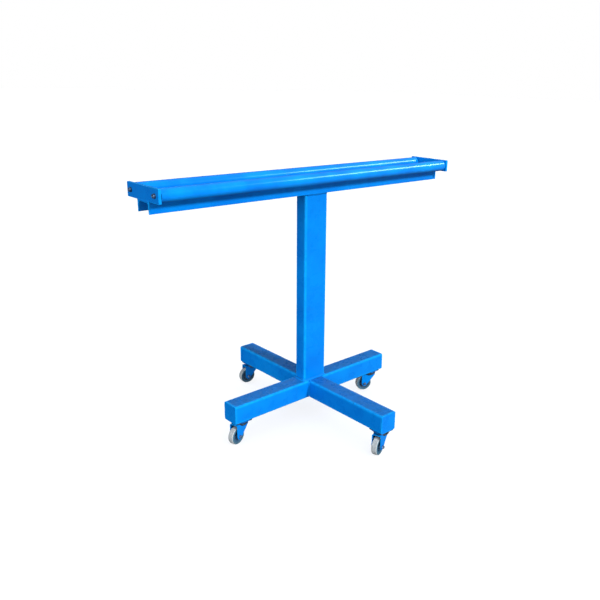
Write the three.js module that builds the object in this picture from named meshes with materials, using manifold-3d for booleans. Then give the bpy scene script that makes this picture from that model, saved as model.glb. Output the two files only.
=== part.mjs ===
// Mobile stand with two long rollers on a beam, one column and a cross base on four swivel castors.
// Millimetres. X runs along the rollers, Y across them, Z is up, and the floor is Z = 0.

import * as THREE from "three";
import { mergeVertices } from "three/addons/utils/BufferGeometryUtils.js";
import Module from "manifold-3d";

const wasm = await Module();
wasm.setup();

// Cross base, in square tube.
const BASE_TUBE = 80;
const BASE_WALL = 4;
const BASE_CORNER = 8;
const BASE_LENGTH_X = 860;
const BASE_LENGTH_Y = 960;
const CAP_THICKNESS = 4;
const BASE_BOTTOM = 102;
const BASE_TOP = BASE_BOTTOM + BASE_TUBE;
const BASE_MIDDLE = BASE_BOTTOM + BASE_TUBE / 2;

// Roller beam, an 80 x 43 rolled channel with its flanges down.
const BEAM_LENGTH = 1500;
const BEAM_WIDTH = 80;
const BEAM_DEPTH = 43;
const BEAM_WEB = 5;
const FLANGE_ROOT = 8;
const FLANGE_TIP = 6;
const BEAM_BOTTOM = 1004;
const BEAM_TOP = BEAM_BOTTOM + BEAM_DEPTH;

// Column, in rectangular tube, from the base up to the web of the beam.
const COLUMN_WIDTH = 120;
const COLUMN_DEPTH = 60;
const COLUMN_WALL = 5;
const COLUMN_CORNER = 8;
const COLUMN_TOP = BEAM_TOP - BEAM_WEB;
const COLUMN_HEIGHT = COLUMN_TOP - BASE_TOP;

// Flat-bar end plates that carry the roller shafts.
const PLATE_THICKNESS = 10;
const PLATE_HEIGHT = 52;
const PLATE_WIDTH = 216;
const PLATE_CORNER = 3;
const PLATE_INNER_X = BEAM_LENGTH / 2 - PLATE_THICKNESS;

// Rollers: a tube on two bearings, turning round a fixed shaft.
const ROLLER_RADIUS = 24;
const ROLLER_WALL = 3;
const ROLLER_END_GAP = 3;
const ROLLER_HALF = PLATE_INNER_X - ROLLER_END_GAP;
const ROLLER_Y = 82;
const ROLLER_Z = BEAM_TOP + 26;
const SHAFT_RADIUS = 7.5;
const SHAFT_STICK_OUT = 8;
const SHAFT_HALF = BEAM_LENGTH / 2 + SHAFT_STICK_OUT;
const SHAFT_HOLE_RADIUS = SHAFT_RADIUS + 0.3;
const BEARING_OUTER = 17.5;
const BEARING_INNER = SHAFT_RADIUS + 0.3;
const BEARING_WIDTH = 11;
const HUB_OUTER = ROLLER_RADIUS - ROLLER_WALL - 0.3;
const HUB_INNER = BEARING_OUTER + 0.3;
const HUB_LIP = 2.5;
const HUB_LIP_RADIUS = 10;
const CLIP_THICKNESS = 1.4;
const CLIP_OUTER = 10.4;
const GROOVE_RADIUS = SHAFT_RADIUS - 0.6;
const GROOVE_START = BEAM_LENGTH / 2 + 0.6;

// Castors. In a castor's own frame the swivel axis is Z, the wheel trails along +X and turns about Y.
const CASTOR_INSET_X = 50;
const CASTOR_INSET_Y = 38;
const WHEEL_RADIUS = 37.5;
const WHEEL_TRAIL = 28;
const TREAD_WIDTH = 26;
const TREAD_INNER = 28;
const TREAD_EDGE = 3;
const RIM_RADIUS = TREAD_INNER - 0.3;
const HUB_WIDTH = 34;
const AXLE_RADIUS = 4;
const AXLE_HOLE_RADIUS = AXLE_RADIUS + 0.35;
const MOUNT_PLATE_SIZE = 72;
const MOUNT_PLATE_THICKNESS = 4;
const MOUNT_PLATE_CORNER = 6;
const RACE_RADIUS = 31;
const RACE_DEPTH = 7;
const PIN_RADIUS = 6;
const PIN_HOLE_RADIUS = PIN_RADIUS + 0.4;
const PIN_HEAD_RADIUS = 10;
const PIN_HEAD_DEPTH = 5;
const LEG_THICKNESS = 3;
const LEG_INNER_Y = HUB_WIDTH / 2 + 1;
const LEG_OUTER_Y = LEG_INNER_Y + LEG_THICKNESS;
const RACE_BOTTOM = BASE_BOTTOM - MOUNT_PLATE_THICKNESS - RACE_DEPTH;
const CROWN_TOP = RACE_BOTTOM - 0.5;
const CROWN_THICKNESS = 3.5;
const CROWN_BOTTOM = CROWN_TOP - CROWN_THICKNESS;
const CROWN_RADIUS = 32;
const CROWN_BACK = 40;
const LEG_FRONT = -24;
const LEG_BACK = 42;
const BOSS_RADIUS = 13;

// Where each castor stands, and the way its wheel trails, in degrees from +X.
const CASTORS = [
  { name: "castor_a", x: -(BASE_LENGTH_X / 2 - CASTOR_INSET_X), y: 0, trails: 194 },
  { name: "castor_b", x: 0, y: -(BASE_LENGTH_Y / 2 - CASTOR_INSET_Y), trails: 198 },
  { name: "castor_c", x: 0, y: BASE_LENGTH_Y / 2 - CASTOR_INSET_Y, trails: 170 },
  { name: "castor_d", x: BASE_LENGTH_X / 2 - CASTOR_INSET_X, y: 0, trails: 156 },
];

const BLUE = { color: 0x1184ea, roughness: 0.35 };
const STEEL = { color: 0x9ea3a8, roughness: 0.35, metalness: 0.9 };
const DARK_STEEL = { color: 0x3b3f44, roughness: 0.45, metalness: 0.8 };
const RUBBER = { color: 0x8f9396, roughness: 0.75 };
const NAVY = { color: 0x1d3350, roughness: 0.5 };

const part = new THREE.Group();
part.name = "roller_stand";

// Basis vectors that turn a profile's own axes on to the stand's axes.
const EX = new THREE.Vector3(1, 0, 0);
const EY = new THREE.Vector3(0, 1, 0);
const EZ = new THREE.Vector3(0, 0, 1);
const EXTRUDE_BASIS = {
  x: [EY, EZ, EX],
  y: [EX.clone().negate(), EZ, EY],
  z: [EX, EY, EZ],
};
const LATHE_BASIS = {
  x: [EY, EX, EZ.clone().negate()],
  y: [EX, EY, EZ],
  z: [EX, EZ, EY.clone().negate()],
};

function turned(geometry, basis) {
  return geometry.applyMatrix4(new THREE.Matrix4().makeBasis(...basis));
}

function signedVolume(geometry) {
  const position = geometry.attributes.position;
  const index = geometry.index;
  const a = new THREE.Vector3();
  const b = new THREE.Vector3();
  const c = new THREE.Vector3();
  let volume = 0;
  for (let i = 0; i < index.count; i += 3) {
    a.fromBufferAttribute(position, index.getX(i));
    b.fromBufferAttribute(position, index.getX(i + 1));
    c.fromBufferAttribute(position, index.getX(i + 2));
    volume += a.dot(b.cross(c)) / 6;
  }
  return volume;
}

// Join the vertices of a closed surface and face it outward.
function closed(geometry) {
  geometry.deleteAttribute("normal");
  geometry.deleteAttribute("uv");
  const merged = mergeVertices(geometry, 1e-4);
  if (signedVolume(merged) < 0) {
    const index = merged.index;
    for (let i = 0; i < index.count; i += 3) {
      const first = index.getX(i);
      index.setX(i, index.getX(i + 1));
      index.setX(i + 1, first);
    }
  }
  return merged;
}

function solid(geometry) {
  const joined = closed(geometry);
  return new wasm.Manifold(new wasm.Mesh({
    numProp: 3,
    vertProperties: new Float32Array(joined.attributes.position.array),
    triVerts: new Uint32Array(joined.index.array),
  }));
}

function surface(manifold) {
  const mesh = manifold.getMesh();
  const geometry = new THREE.BufferGeometry();
  geometry.setAttribute("position", new THREE.BufferAttribute(new Float32Array(mesh.vertProperties), 3));
  geometry.setIndex(new THREE.BufferAttribute(new Uint32Array(mesh.triVerts), 1));
  return geometry;
}

function box(sizeX, sizeY, sizeZ, x, y, z) {
  return new THREE.BoxGeometry(sizeX, sizeY, sizeZ).translate(x, y, z);
}

function rod(axis, radius, from, to, segments) {
  const profile = [[0, from], [radius, from], [radius, to], [0, to]];
  return lathe(axis, profile, segments);
}

// A turned piece: profile is a list of [radius, distance along the axis].
function lathe(axis, profile, segments) {
  const points = profile.map(([radius, along]) => new THREE.Vector2(radius, along));
  return turned(new THREE.LatheGeometry(points, segments), LATHE_BASIS[axis]);
}

function closedLathe(axis, profile, segments) {
  return lathe(axis, [...profile, profile[0]], segments);
}

function outline(points) {
  return new THREE.Shape(points.map(([x, y]) => new THREE.Vector2(x, y)));
}

function arcPoints(centreX, centreY, radius, fromDegrees, toDegrees, steps) {
  const points = [];
  for (let i = 0; i <= steps; i += 1) {
    const angle = THREE.MathUtils.degToRad(fromDegrees + (toDegrees - fromDegrees) * i / steps);
    points.push([centreX + radius * Math.cos(angle), centreY + radius * Math.sin(angle)]);
  }
  return points;
}

function roundedCorners(width, height, radius) {
  const x = width / 2 - radius;
  const y = height / 2 - radius;
  return [
    ...arcPoints(x, y, radius, 0, 90, 3),
    ...arcPoints(-x, y, radius, 90, 180, 3),
    ...arcPoints(-x, -y, radius, 180, 270, 3),
    ...arcPoints(x, -y, radius, 270, 360, 3),
  ];
}

// Extrude a shape along an axis, centred on the origin of that axis.
function extruded(shape, axis, length) {
  const geometry = new THREE.ExtrudeGeometry(shape, { depth: length, bevelEnabled: false, curveSegments: 8 });
  return turned(geometry.translate(0, 0, -length / 2), EXTRUDE_BASIS[axis]);
}

function hollowSection(axis, width, height, wall, corner, length) {
  const shape = outline(roundedCorners(width, height, corner));
  const inside = roundedCorners(width - 2 * wall, height - 2 * wall, corner - wall);
  shape.holes.push(new THREE.Path(inside.map(([x, y]) => new THREE.Vector2(x, y))));
  return extruded(shape, axis, length);
}

function add(name, geometry, look) {
  const joined = closed(geometry);
  joined.computeVertexNormals();
  const mesh = new THREE.Mesh(joined, new THREE.MeshStandardMaterial(look));
  mesh.name = name;
  part.add(mesh);
  return mesh;
}

// One bar runs right across the base; two stubs are welded to its sides.
function addBase() {
  const barLength = BASE_LENGTH_Y - 2 * CAP_THICKNESS;
  const stubLength = BASE_LENGTH_X / 2 - BASE_TUBE / 2 - CAP_THICKNESS;
  const stubMiddle = BASE_TUBE / 2 + stubLength / 2;
  const bar = hollowSection("y", BASE_TUBE, BASE_TUBE, BASE_WALL, BASE_CORNER, barLength);
  add("base_bar", bar.translate(0, 0, BASE_MIDDLE), BLUE);
  for (const [side, sign] of [["left", -1], ["right", 1]]) {
    const stub = hollowSection("x", BASE_TUBE, BASE_TUBE, BASE_WALL, BASE_CORNER, stubLength);
    add(`base_stub_${side}`, stub.translate(sign * stubMiddle, 0, BASE_MIDDLE), BLUE);
    const cap = extruded(outline(roundedCorners(BASE_TUBE, BASE_TUBE, BASE_CORNER)), "x", CAP_THICKNESS);
    const capX = sign * (BASE_LENGTH_X / 2 - CAP_THICKNESS / 2);
    add(`base_cap_${side}`, cap.translate(capX, 0, BASE_MIDDLE), BLUE);
  }
  for (const [side, sign] of [["front", -1], ["back", 1]]) {
    const cap = extruded(outline(roundedCorners(BASE_TUBE, BASE_TUBE, BASE_CORNER)), "y", CAP_THICKNESS);
    const capY = sign * (BASE_LENGTH_Y / 2 - CAP_THICKNESS / 2);
    add(`base_cap_${side}`, cap.translate(0, capY, BASE_MIDDLE), BLUE);
  }
}

function addColumn() {
  const tube = hollowSection("z", COLUMN_WIDTH, COLUMN_DEPTH, COLUMN_WALL, COLUMN_CORNER, COLUMN_HEIGHT);
  add("column", tube.translate(0, 0, BASE_TOP + COLUMN_HEIGHT / 2), BLUE);
}

// One flange of the rolled channel: thinner at its tip than at its root, with the root fillet inside.
function flangeProfile(sign) {
  const half = BEAM_WIDTH / 2;
  const rootY = half - FLANGE_ROOT;
  const tipY = half - FLANGE_TIP;
  const webZ = BEAM_DEPTH - BEAM_WEB;
  const fillet = 6;
  const points = [
    [half, webZ],
    [half, 2],
    [half - 1, 0],
    [tipY + 1.5, 0],
    [tipY, 2],
    ...arcPoints(rootY - fillet, webZ - fillet, fillet, 0, 90, 3),
  ];
  return outline(points.map(([y, z]) => [sign * y, z]));
}

// The channel is one rolled piece, drawn as a web and two flanges so that its open side stays open.
function addBeam() {
  add("roller_beam_web", box(BEAM_LENGTH, BEAM_WIDTH, BEAM_WEB, 0, 0, BEAM_TOP - BEAM_WEB / 2), BLUE);
  // The column passes up between the flanges, so the fillets are relieved where it stands.
  const reliefDepth = 9;
  const relief = box(COLUMN_WIDTH + 2, COLUMN_DEPTH + 2, reliefDepth, 0, 0, COLUMN_TOP + 1 - reliefDepth / 2);
  for (const [side, sign] of [["front", -1], ["back", 1]]) {
    const flange = extruded(flangeProfile(sign), "x", BEAM_LENGTH).translate(0, 0, BEAM_BOTTOM);
    add(`roller_beam_flange_${side}`, surface(solid(flange).subtract(solid(relief))), BLUE);
  }
}

function addEndPlates() {
  for (const [side, sign] of [["left", -1], ["right", 1]]) {
    const shape = outline(roundedCorners(PLATE_WIDTH, PLATE_HEIGHT, PLATE_CORNER));
    for (const y of [-ROLLER_Y, ROLLER_Y]) {
      const hole = new THREE.Path();
      hole.absarc(y, ROLLER_Z - BEAM_TOP - PLATE_HEIGHT / 2, SHAFT_HOLE_RADIUS, 0, 2 * Math.PI, true);
      shape.holes.push(hole);
    }
    const plate = extruded(shape, "x", PLATE_THICKNESS);
    const middleX = sign * (BEAM_LENGTH / 2 - PLATE_THICKNESS / 2);
    add(`end_plate_${side}`, plate.translate(middleX, 0, BEAM_TOP + PLATE_HEIGHT / 2), BLUE);
  }
}

// Shaft profile with a groove near each end for its retaining ring.
function shaftProfile() {
  const grooveEnd = GROOVE_START + CLIP_THICKNESS + 0.4;
  const rightHalf = [
    [SHAFT_RADIUS, GROOVE_START],
    [GROOVE_RADIUS, GROOVE_START],
    [GROOVE_RADIUS, grooveEnd],
    [SHAFT_RADIUS, grooveEnd],
    [SHAFT_RADIUS, SHAFT_HALF - 1],
    [SHAFT_RADIUS - 1, SHAFT_HALF],
    [0, SHAFT_HALF],
  ];
  const leftHalf = rightHalf.map(([radius, x]) => [radius, -x]).reverse();
  return [...leftHalf, ...rightHalf];
}

function hubProfile() {
  const depth = BEARING_WIDTH + HUB_LIP;
  return [
    [HUB_INNER, 0],
    [HUB_OUTER, 0],
    [HUB_OUTER, depth],
    [HUB_LIP_RADIUS, depth],
    [HUB_LIP_RADIUS, BEARING_WIDTH + 0.3],
    [HUB_INNER, BEARING_WIDTH + 0.3],
  ];
}

function ringProfile(inner, outer, width) {
  return [[inner, 0], [outer, 0], [outer, width], [inner, width]];
}

function addRoller(name, y) {
  const tubeInner = ROLLER_RADIUS - ROLLER_WALL;
  const tubeProfile = ringProfile(tubeInner, ROLLER_RADIUS, 2 * ROLLER_HALF);
  const tube = closedLathe("x", tubeProfile, 28).translate(-ROLLER_HALF, y, ROLLER_Z);
  add(`${name}_tube`, tube, BLUE);
  add(`${name}_shaft`, lathe("x", shaftProfile(), 16).translate(0, y, ROLLER_Z), STEEL);
  for (const [side, sign] of [["left", -1], ["right", 1]]) {
    const hub = closedLathe("x", hubProfile(), 20).scale(-sign, 1, 1);
    add(`${name}_hub_${side}`, hub.translate(sign * ROLLER_HALF, y, ROLLER_Z), DARK_STEEL);
    const bearingProfile = ringProfile(BEARING_INNER, BEARING_OUTER, BEARING_WIDTH);
    const bearing = closedLathe("x", bearingProfile, 20).scale(-sign, 1, 1);
    add(`${name}_bearing_${side}`, bearing.translate(sign * ROLLER_HALF, y, ROLLER_Z), STEEL);
    const clipProfile = ringProfile(GROOVE_RADIUS + 0.2, CLIP_OUTER, CLIP_THICKNESS);
    const clip = closedLathe("x", clipProfile, 16).scale(sign, 1, 1);
    const clipX = sign * (GROOVE_START + 0.2);
    add(`${name}_clip_${side}`, clip.translate(clipX, y, ROLLER_Z), DARK_STEEL);
  }
}

// Fork leg seen from the side: its front edge slopes from the crown to the axle boss, its back edge is upright.
function legOutline() {
  const boss = arcPoints(WHEEL_TRAIL, WHEEL_RADIUS, BOSS_RADIUS, 205, 360, 6);
  return outline([
    [LEG_FRONT, CROWN_BOTTOM + 1],
    [LEG_FRONT, CROWN_BOTTOM - 8],
    ...boss,
    [LEG_BACK, WHEEL_RADIUS + 12],
    [LEG_BACK, CROWN_BOTTOM + 1],
  ]);
}

// The outline's second coordinate is height, so the leg is extruded across the castor.
function legGeometry(middleY) {
  const geometry = new THREE.ExtrudeGeometry(legOutline(), { depth: LEG_THICKNESS, bevelEnabled: false });
  const basis = [EX, EZ, EY.clone().negate()];
  return turned(geometry.translate(0, 0, -LEG_THICKNESS / 2), basis).translate(0, middleY, 0);
}

function forkGeometry() {
  const legMiddle = (LEG_INNER_Y + LEG_OUTER_Y) / 2;
  const crownBack = CROWN_BACK - LEG_FRONT;
  const crownMiddle = (CROWN_TOP + CROWN_BOTTOM) / 2;
  const bridge = box(crownBack, 2 * LEG_OUTER_Y, CROWN_THICKNESS, LEG_FRONT + crownBack / 2, 0, crownMiddle);
  const tools = [
    rod("z", PIN_HOLE_RADIUS, CROWN_BOTTOM - 1, CROWN_TOP + 1, 16),
    rod("y", AXLE_HOLE_RADIUS, -30, 30, 16).translate(WHEEL_TRAIL, 0, WHEEL_RADIUS),
  ];
  let fork = solid(rod("z", CROWN_RADIUS, CROWN_BOTTOM, CROWN_TOP, 28));
  fork = fork.add(solid(bridge));
  fork = fork.add(solid(legGeometry(legMiddle)));
  fork = fork.add(solid(legGeometry(-legMiddle)));
  for (const tool of tools) {
    fork = fork.subtract(solid(tool));
  }
  return surface(fork);
}

function treadProfile() {
  const half = TREAD_WIDTH / 2;
  return [
    [TREAD_INNER, -half],
    [WHEEL_RADIUS - TREAD_EDGE, -half],
    [WHEEL_RADIUS, -half + TREAD_EDGE],
    [WHEEL_RADIUS, half - TREAD_EDGE],
    [WHEEL_RADIUS - TREAD_EDGE, half],
    [TREAD_INNER, half],
  ];
}

function coreProfile() {
  const rim = TREAD_WIDTH / 2 - 1.5;
  const hub = HUB_WIDTH / 2;
  const rightHalf = [
    [RIM_RADIUS, rim],
    [24.5, rim],
    [22.5, 4],
    [12, 4],
    [10.5, hub],
    [AXLE_HOLE_RADIUS, hub],
  ];
  const leftHalf = rightHalf.map(([radius, y]) => [radius, -y]).reverse();
  return [...leftHalf, ...rightHalf];
}

function mountPlateGeometry() {
  const shape = outline(roundedCorners(MOUNT_PLATE_SIZE, MOUNT_PLATE_SIZE, MOUNT_PLATE_CORNER));
  const plate = extruded(shape, "z", MOUNT_PLATE_THICKNESS).translate(0, 0, BASE_BOTTOM - MOUNT_PLATE_THICKNESS / 2);
  const race = rod("z", RACE_RADIUS, RACE_BOTTOM, RACE_BOTTOM + RACE_DEPTH + 0.5, 24);
  const hole = rod("z", PIN_HOLE_RADIUS, RACE_BOTTOM - 1, BASE_BOTTOM + 1, 16);
  return surface(solid(plate).add(solid(race)).subtract(solid(hole)));
}

function kingpinGeometry() {
  const headTop = CROWN_BOTTOM - 0.3;
  const headBottom = headTop - PIN_HEAD_DEPTH;
  return lathe("z", [
    [0, headBottom],
    [PIN_HEAD_RADIUS - 2, headBottom],
    [PIN_HEAD_RADIUS, headBottom + 2],
    [PIN_HEAD_RADIUS, headTop],
    [PIN_RADIUS, headTop],
    [PIN_RADIUS, BASE_BOTTOM - 0.3],
    [0, BASE_BOTTOM - 0.3],
  ], 16);
}

function hexagon(acrossFlats) {
  return outline(arcPoints(0, 0, acrossFlats / Math.sqrt(3), 0, 300, 5));
}

function axleBoltGeometry() {
  const headThickness = 5.5;
  const underHead = -(LEG_OUTER_Y + 0.3);
  const shankEnd = LEG_OUTER_Y + 9;
  const head = extruded(hexagon(13), "y", headThickness).translate(0, underHead - headThickness / 2, 0);
  const shank = rod("y", AXLE_RADIUS, underHead - 1, shankEnd, 16);
  return surface(solid(head).add(solid(shank)));
}

function axleNutGeometry() {
  const thickness = 6.8;
  const shape = hexagon(13);
  const hole = new THREE.Path();
  hole.absarc(0, 0, AXLE_HOLE_RADIUS, 0, 2 * Math.PI, true);
  shape.holes.push(hole);
  return extruded(shape, "y", thickness).translate(0, LEG_OUTER_Y + 0.3 + thickness / 2, 0);
}

function addCastor({ name, x, y, trails }) {
  const swivel = THREE.MathUtils.degToRad(trails);
  const place = (geometry) => geometry.rotateZ(swivel).translate(x, y, 0);
  const onAxle = (geometry) => place(geometry.translate(WHEEL_TRAIL, 0, WHEEL_RADIUS));
  add(`${name}_mount_plate`, mountPlateGeometry().translate(x, y, 0), DARK_STEEL);
  add(`${name}_kingpin`, kingpinGeometry().translate(x, y, 0), DARK_STEEL);
  add(`${name}_fork`, place(forkGeometry()), BLUE);
  add(`${name}_tread`, onAxle(closedLathe("y", treadProfile(), 24)), RUBBER);
  add(`${name}_core`, onAxle(closedLathe("y", coreProfile(), 20)), NAVY);
  add(`${name}_axle_bolt`, onAxle(axleBoltGeometry()), STEEL);
  add(`${name}_axle_nut`, onAxle(axleNutGeometry()), STEEL);
}

addBase();
addColumn();
addBeam();
addEndPlates();
addRoller("roller_front", -ROLLER_Y);
addRoller("roller_back", ROLLER_Y);
for (const castor of CASTORS) {
  addCastor(castor);
}

export default part;
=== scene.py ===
"""Looks for the roller stand: a cross base on four castors, a column, a channel beam and two long rollers.

Metres. X runs along the rollers, Y across them, Z is up, and the floor is Z = 0.
"""

import math
import random

import bmesh
import bpy
from mathutils import Matrix, Vector


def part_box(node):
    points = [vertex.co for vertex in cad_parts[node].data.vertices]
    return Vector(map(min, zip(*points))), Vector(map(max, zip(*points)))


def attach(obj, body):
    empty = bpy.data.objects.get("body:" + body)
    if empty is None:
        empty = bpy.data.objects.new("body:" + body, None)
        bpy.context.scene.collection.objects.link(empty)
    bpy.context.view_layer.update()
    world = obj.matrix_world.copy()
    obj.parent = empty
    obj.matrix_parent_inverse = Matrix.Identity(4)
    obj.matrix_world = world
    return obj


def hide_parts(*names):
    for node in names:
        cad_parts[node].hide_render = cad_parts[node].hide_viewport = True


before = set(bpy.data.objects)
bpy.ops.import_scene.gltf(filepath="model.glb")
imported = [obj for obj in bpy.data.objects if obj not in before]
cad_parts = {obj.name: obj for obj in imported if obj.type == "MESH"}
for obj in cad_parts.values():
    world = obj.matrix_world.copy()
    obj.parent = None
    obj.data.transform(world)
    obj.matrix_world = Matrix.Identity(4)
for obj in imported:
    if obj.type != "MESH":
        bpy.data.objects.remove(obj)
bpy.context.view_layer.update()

MM = 0.001
SEED = 7
random.seed(SEED)

# Edges and corners.
CUT_EDGE = 0.8 * MM
SHOULDER = 5 * MM
FACE_MARGIN = 4 * MM
PLATE_MARGIN = 1.8 * MM
ARC_STEPS = 6
RIM_STEPS = 3
SHARP_ANGLE = math.radians(50)
ON_AXIS = 1e-7

# Sections, as in the CAD part. Their outer sizes come from the boxes of the CAD nodes.
BASE_CORNER = 8 * MM
BASE_WALL = 4 * MM
COLUMN_CORNER = 8 * MM
COLUMN_WALL = 5 * MM
CAP_EDGE = 1.4 * MM
BEAM_WEB = 5 * MM
FLANGE_ROOT = 8 * MM
FLANGE_TIP = 6 * MM
PLATE_CORNER = 3 * MM
BEAM_NODES = ["roller_beam_web", "roller_beam_flange_front", "roller_beam_flange_back"]
HOLE_CLEARANCE = 0.3 * MM

# Rollers.
ROLLER_WALL = 3 * MM
ROLLER_SEGMENTS = 96
SHAFT_RADIUS = 7.5 * MM
GROOVE_RADIUS = 6.9 * MM
CLIP_THICKNESS = 1.4 * MM
CLIP_INNER = 7.1 * MM
CLIP_RING = 8.9 * MM
CLIP_OUTER = 10.4 * MM
CLIP_GAP = math.radians(20)
CLIP_STEPS = 40
CLIP_WEAR = 0.3
CLIP_TURN = math.radians(50)
BEARING_OUTER = 17.5 * MM
BEARING_WIDTH = 11 * MM

# Castors.
PLATE_DEPTH = 4 * MM
RACE_RADIUS = 31 * MM
CROWN_RADIUS = 32 * MM
PIN_RADIUS = 6 * MM
RACE_BORE = 6.4 * MM
LEG_THICKNESS = 3 * MM
LEG_MIDDLE = 19.5 * MM
LEG_FRONT = -24 * MM
LEG_BACK = 42 * MM
LEG_STEPS = 12
LEG_SHARES = [0.0, 0.02, 0.10, 0.30, 0.50, 0.70, 0.90, 0.98, 1.0]
BACK_SLOPE = 12 * MM
FRONT_SLOPE_DROP = 11.5 * MM
FRONT_SLOPE_END = math.radians(205)
FOLD_RADIUS = 5 * MM
FOLD_STEPS = 6
FOLD_TOP = 8 * MM
BOSS_RADIUS = 13 * MM
BOSS_END = 0.998
WHEEL_HALF = 13 * MM
TREAD_INNER = 28 * MM
SIDE_WALL_TOP = 35.2 * MM
HUB_HALF = 17 * MM
RIB_PLACE = 17.5 * MM
RIB_COUNT = 8
AXLE_RADIUS = 4 * MM
HEX_FLATS = 13 * MM
HEAD_START = 21.3 * MM
HEAD_HEIGHT = 5.5 * MM
NUT_HEIGHT = 6.8 * MM
THREAD_PITCH = 0.9 * MM
THREAD_TURNS = 4

# Weld beads.
BEAD_STEP = 0.9 * MM
BEAD_PITCH = 3.6 * MM
BEAD_POINTS = 7
BEAD_LEAD = 1.6 * MM
BEAD_RIPPLE = 0.25
BEAD_SWELL = 0.06
BEAD_SWELL_LENGTH = 11 * MM
BEAD_WANDER = 6.28
BEAD_ROOT = 0.6 * MM
# Edge weight of the beads, which pales their paint: partly wear, partly painted highlight.
BEAD_EDGE_WEAR_AND_HIGHLIGHT = 0.15

# The photograph's camera. Its focal length and shift are shares of the sensor's width, its angles degrees.
CAMERA_PLACE = Vector((-1.8026, -2.0673, 1.4498))
CAMERA_YAW = -44.01
CAMERA_PITCH = 17.43
CAMERA_ROLL = 1.467
SENSOR = 36.0
FOCAL_SHARE = 1.11366
SHIFT_X = -0.0726
SHIFT_Y = -0.0178

# Suns: name, direction, strength and softness in degrees. The four in the list leave the floor out.
SUNS = [
    ("key", (0.12, -0.85, 0.47), 3.9, 9),
    ("top", (-0.1, -0.1, 1.0), 0.15, 120),
    ("fill", (-1.0, -0.1, 0.15), 2.7, 50),
    ("back", (0.5, 0.85, 0.1), 1.8, 50),
]
FLOOR_SUN = ("floor_light", (0, 0, 1), 2.4, 5)

# A panel that only the rollers reflect.
PANEL_PLACE = Vector((3.6, -2.4, 3.2))
PANEL_AIM = Vector((0.4, -0.1, 1.1))
PANEL_WIDTH = 2.2
PANEL_HEIGHT = 0.7
PANEL_POWER = 135

# The surround is brightest towards one side and dim on the other.
SURROUND_TINT = (0.94, 0.97, 1, 1)
SURROUND_TOWARDS = (-0.15, -0.80, 0.58)
SURROUND_SHADING = {"From Min": -0.7, "From Max": 0.8, "To Min": 0.05, "To Max": 0.62}
FLOOR_HALF = 60.0

# Local Z of a profile is turned to run along X, along Y, or along the axle of a castor's wheel.
ALONG_X = Matrix(((0, 0, 1, 0), (1, 0, 0, 0), (0, 1, 0, 0), (0, 0, 0, 1)))
ALONG_Y = Matrix(((0, 1, 0, 0), (0, 0, 1, 0), (1, 0, 0, 0), (0, 0, 0, 1)))
AXLE_TURN = Matrix.Rotation(-math.pi / 2, 4, "X")


# ---- outlines


def polar(radius, angle):
    """X and Y of a point on a circle round the origin."""
    return radius * math.cos(angle), radius * math.sin(angle)


def slide(point, degrees, distance):
    """A point without wear, moved along the outline where its corner arc has that angle."""
    angle = math.radians(degrees)
    return (point[0] - math.sin(angle) * distance, point[1] + math.cos(angle) * distance, 0)


def rounded_rect(width, height, radius, shoulder=SHOULDER):
    """A rounded rectangle, counter-clockwise, as (x, y, edge weight). The weight is 1 on the edges, for
    wear and, on paint, for a painted highlight.
    """
    points = []
    for quarter, (sign_x, sign_y) in enumerate(((1, 1), (-1, 1), (-1, -1), (1, -1))):
        centre_x = sign_x * (width / 2 - radius)
        centre_y = sign_y * (height / 2 - radius)
        arc = []
        for step in range(ARC_STEPS + 1):
            angle = math.radians(90 * quarter + 90 * step / ARC_STEPS)
            weight = 0.5 + 0.5 * math.sin(math.pi * step / ARC_STEPS)
            across, up = polar(radius, angle)
            arc.append((centre_x + across, centre_y + up, weight))
        before = slide(arc[0], 90 * quarter, -shoulder)
        after = slide(arc[-1], 90 * quarter + 90, shoulder)
        points += [before, *arc, after]
    return points


def circle(radius, x=0.0, y=0.0, segments=32, clockwise=False):
    """A circle as (x, y, edge weight). A hole's circle is clockwise."""
    sign = -1 if clockwise else 1
    points = []
    for step in range(segments):
        angle = sign * 2 * math.pi * step / segments
        across, up = polar(radius, angle)
        points.append((x + across, y + up, 0))
    return points


def soften(corners, closed=True, steps=4):
    """A polygon of (x, y, rounding in millimetres) with its corners rounded, as (x, y, edge weight)."""
    points = []
    count = len(corners)
    for i, (x, y, rounding) in enumerate(corners):
        here = Vector((x, y))
        if rounding == 0 or (not closed and i in (0, count - 1)):
            points.append((x, y, 0.0))
            continue
        back = Vector(corners[i - 1][:2]) - here
        ahead = Vector(corners[(i + 1) % count][:2]) - here
        cut_back = min(rounding * MM, 0.48 * back.length)
        cut_ahead = min(rounding * MM, 0.48 * ahead.length)
        first = here + back.normalized() * cut_back
        last = here + ahead.normalized() * cut_ahead
        for step in range(steps + 1):
            t = step / steps
            at = first * (1 - t) ** 2 + here * 2 * t * (1 - t) + last * t ** 2
            points.append((at.x, at.y, math.sin(math.pi * t)))
    return points


def mirrored(half):
    """Profile points (radius, z, rounding) for z above 0, after their mirror images below it."""
    return [(radius, -z, rounding) for radius, z, rounding in reversed(half)] + half


def hexagon(flats):
    """A hexagon of that width across its flats."""
    corner = flats / math.sqrt(3)
    return soften([(*polar(corner, math.radians(60 * k)), 0.5) for k in range(6)])


def inset(points, distance):
    """The outline moved inward by distance. A clockwise outline is a hole, and it grows."""
    moved = []
    count = len(points)
    for i, (x, y, weight) in enumerate(points):
        before = points[i - 1]
        after = points[(i + 1) % count]
        along = Vector((after[0] - before[0], after[1] - before[1])).normalized()
        moved.append((x - along.y * distance, y + along.x * distance, weight))
    return moved


# ---- solids


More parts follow.
